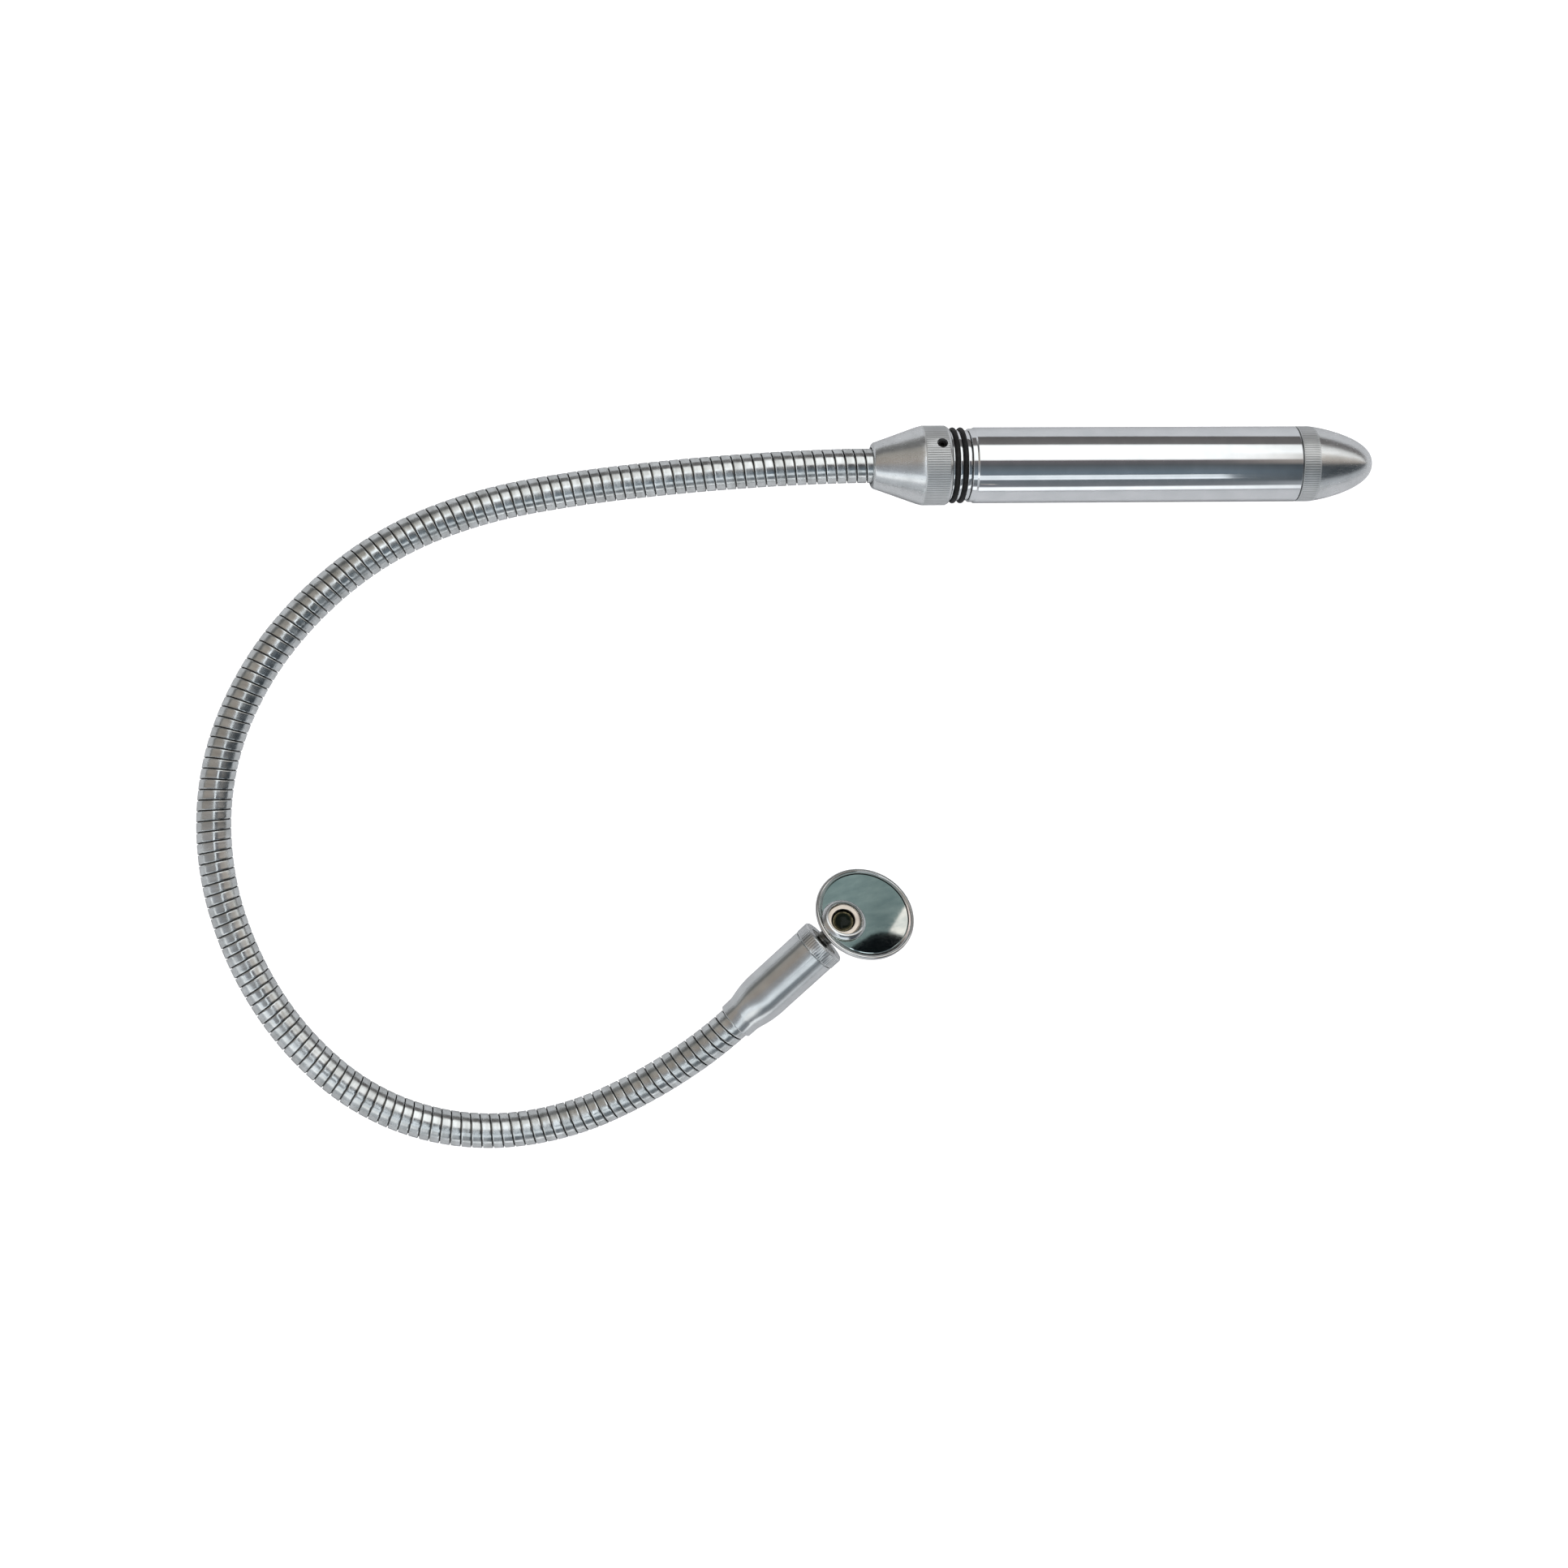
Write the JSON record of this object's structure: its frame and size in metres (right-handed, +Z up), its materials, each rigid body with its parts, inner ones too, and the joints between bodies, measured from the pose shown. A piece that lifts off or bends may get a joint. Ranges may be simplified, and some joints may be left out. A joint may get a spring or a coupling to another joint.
{
  "type": "gooseneck inspection light with mirror",
  "caption": "Battery handle with a flexible strip-wound neck and a small head that carries a lighted, off-centre round mirror on a ball joint.",
  "frame": {"origin": "middle of the object's footprint, on the surface that it lies on", "axes": "+Z up out of that surface; +X along the handle, from the nose to the tail; +Y towards the handle's side of the neck's loop"},
  "size_m": [0.2942, 0.1762, 0.0295],
  "materials": {
    "polished_aluminium": "polished, turned",
    "satin_aluminium": "fine turned satin",
    "neck_steel": "satin, strip wound",
    "spring_steel": "drawn",
    "dark_steel": "blackened",
    "mirror_steel": "polished",
    "nickel": "polished nickel plate",
    "contact_brass": "plain",
    "black_rubber": "matte",
    "white_nylon": "moulded",
    "white_board": "printed circuit board, white mask",
    "green_board": "printed circuit board, green mask",
    "cell_sleeve": "printed shrink sleeve",
    "mirror_glass": "front view of a back-silvered mirror",
    "lamp_glass": "clear dome over a dark lamp",
    "red_lead": "insulation",
    "black_lead": "insulation"
  },
  "bodies": {
    "barrel": {"battery_barrel": "polished_aluminium", "battery_front": "cell_sleeve", "battery_rear": "cell_sleeve"},
    "tail_contact": {"tail_spring": "spring_steel", "tail_contact_plate": "contact_brass"},
    "tail_cap": {"tail_cap": "polished_aluminium"},
    "nose": {"switch_adapter": "polished_aluminium", "o_ring_front": "black_rubber", "o_ring_rear": "black_rubber", "contact_insulator": "white_nylon", "contact_pin": "contact_brass", "driver_board": "green_board", "nose_cone": "satin_aluminium", "grub_screw": "dark_steel", "neck_ferrule_rear": "contact_brass", "rear_lead_positive": "red_lead", "rear_lead_negative": "black_lead", "neck_stretch_01": "neck_steel"},
    "neck_02": {"neck_stretch_02": "neck_steel"},
    "neck_03": {"neck_stretch_03": "neck_steel"},
    "neck_04": {"neck_stretch_04": "neck_steel"},
    "neck_05": {"neck_stretch_05": "neck_steel"},
    "neck_06": {"neck_stretch_06": "neck_steel"},
    "neck_07": {"neck_stretch_07": "neck_steel"},
    "neck_08": {"neck_stretch_08": "neck_steel"},
    "neck_09": {"neck_stretch_09": "neck_steel"},
    "neck_10": {"neck_stretch_10": "neck_steel"},
    "neck_11": {"neck_stretch_11": "neck_steel"},
    "neck_12": {"neck_stretch_12": "neck_steel"},
    "neck_13": {"neck_stretch_13": "neck_steel"},
    "neck_14": {"neck_stretch_14": "neck_steel"},
    "neck_15": {"neck_stretch_15": "neck_steel"},
    "neck_16": {"neck_stretch_16": "neck_steel"},
    "head": {"neck_stretch_17": "neck_steel", "neck_ferrule_front": "contact_brass", "front_lead_positive": "red_lead", "front_lead_negative": "black_lead", "head_shell": "satin_aluminium", "head_cap": "polished_aluminium", "wave_washer": "spring_steel", "friction_washer": "white_nylon"},
    "swivel": {"swivel_plug": "dark_steel", "swivel_stud": "dark_steel", "lamp_ball": "nickel", "lamp_board": "white_board", "lamp_dome": "lamp_glass"},
    "socket": {"socket_liner": "white_nylon"},
    "mirror": {"socket_ring": "polished_aluminium", "socket_back": "mirror_steel", "mirror_cup": "mirror_steel", "mirror_glass": "mirror_glass"}
  },
  "joints": [
    {"name": "switch_twist", "type": "hinge", "parent": "barrel", "child": "nose", "pos_m": [0.01936, 0.07829, 0.00985], "axis": [-1, 0, 0], "range_deg": [0, 90]},
    {"name": "tail_travel", "type": "slide", "parent": "barrel", "child": "tail_contact", "axis": [1, 0, 0], "range_m": [0, 0.005]},
    {"name": "tail_unscrew", "type": "hinge", "parent": "tail_contact", "child": "tail_cap", "pos_m": [0.12726, 0.07829, 0.00985], "axis": [1, 0, 0], "range_deg": [0, 1800]},
    {"name": "neck_turn_01", "type": "hinge", "parent": "nose", "child": "neck_02", "pos_m": [0.00536, 0.07804, 0.00948], "axis": [-0.0523, -0.0018, 0.9986], "range_deg": [-30, 20]},
    {"name": "neck_lift_01", "type": "hinge", "parent": "neck_02", "child": "neck_03", "pos_m": [-0.01828, 0.0768, 0.00793], "axis": [0.0698, -0.9976, 0], "range_deg": [-25, 25]},
    {"name": "neck_turn_02", "type": "hinge", "parent": "neck_03", "child": "neck_04", "pos_m": [-0.04185, 0.07474, 0.00607], "axis": [-0.078, -0.0082, 0.9969], "range_deg": [-30, 20]},
    {"name": "neck_lift_02", "type": "hinge", "parent": "neck_04", "child": "neck_05", "pos_m": [-0.06531, 0.07144, 0.00472], "axis": [0.1736, -0.9848, 0], "range_deg": [-25, 25]},
    {"name": "neck_turn_03", "type": "hinge", "parent": "neck_05", "child": "neck_06", "pos_m": [-0.08814, 0.06511, 0.00431], "axis": [0, 0, 1], "range_deg": [-30, 20]},
    {"name": "neck_lift_03", "type": "hinge", "parent": "neck_06", "child": "neck_07", "pos_m": [-0.10883, 0.05364, 0.00431], "axis": [0.6018, -0.7986, 0], "range_deg": [-25, 25]},
    {"name": "neck_turn_04", "type": "hinge", "parent": "neck_07", "child": "neck_08", "pos_m": [-0.12586, 0.0372, 0.00431], "axis": [0, 0, 1], "range_deg": [-30, 20]},
    {"name": "neck_lift_04", "type": "hinge", "parent": "neck_08", "child": "neck_09", "pos_m": [-0.13786, 0.01682, 0.00431], "axis": [0.9272, -0.3746, 0], "range_deg": [-25, 25]},
    {"name": "neck_turn_05", "type": "hinge", "parent": "neck_09", "child": "neck_10", "pos_m": [-0.14277, -0.00627, 0.00431], "axis": [0, 0, 1], "range_deg": [-30, 20]},
    {"name": "neck_lift_05", "type": "hinge", "parent": "neck_10", "child": "neck_11", "pos_m": [-0.13984, -0.02972, 0.00431], "axis": [-0.96, -0.2798, 0], "range_deg": [-25, 25]},
    {"name": "neck_turn_06", "type": "hinge", "parent": "neck_11", "child": "neck_12", "pos_m": [-0.13022, -0.05134, 0.00431], "axis": [0, 0, 1], "range_deg": [-30, 20]},
    {"name": "neck_lift_06", "type": "hinge", "parent": "neck_12", "child": "neck_13", "pos_m": [-0.1149, -0.06935, 0.00431], "axis": [-0.6561, -0.7547, 0], "range_deg": [-25, 25]},
    {"name": "neck_turn_07", "type": "hinge", "parent": "neck_13", "child": "neck_14", "pos_m": [-0.09438, -0.08096, 0.00431], "axis": [0, 0, 1], "range_deg": [-30, 20]},
    {"name": "neck_lift_07", "type": "hinge", "parent": "neck_14", "child": "neck_15", "pos_m": [-0.07097, -0.08373, 0.00493], "axis": [0.0785, -0.9969, 0], "range_deg": [-25, 25]},
    {"name": "neck_turn_08", "type": "hinge", "parent": "neck_15", "child": "neck_16", "pos_m": [-0.04817, -0.078, 0.0071], "axis": [-0.1195, -0.0526, 0.9914], "range_deg": [-30, 20]},
    {"name": "neck_lift_08", "type": "hinge", "parent": "neck_16", "child": "head", "pos_m": [-0.02779, -0.06659, 0.01112], "axis": [0.57, -0.8216, 0], "range_deg": [-25, 25]},
    {"name": "head_swivel", "type": "hinge", "parent": "head", "child": "swivel", "pos_m": [-0.01716, -0.05806, 0.01427], "axis": [0.7125, 0.6586, 0.2419], "range_deg": [-160, 160]},
    {"name": "mirror_tilt", "type": "hinge", "parent": "swivel", "child": "socket", "pos_m": [0.00828, -0.03389, 0.02438], "axis": [-0.5771, 0.7462, -0.3319], "range_deg": [-8, 25]},
    {"name": "mirror_spin", "type": "hinge", "parent": "socket", "child": "mirror", "pos_m": [0.00828, -0.03389, 0.02438], "axis": [0.1523, 0.4975, 0.854], "range_deg": [-30, 30]}
  ],
  "couplings": [
    {"joint": "tail_unscrew", "follows": "tail_travel", "rad_per_m": 6283.2}
  ]
}
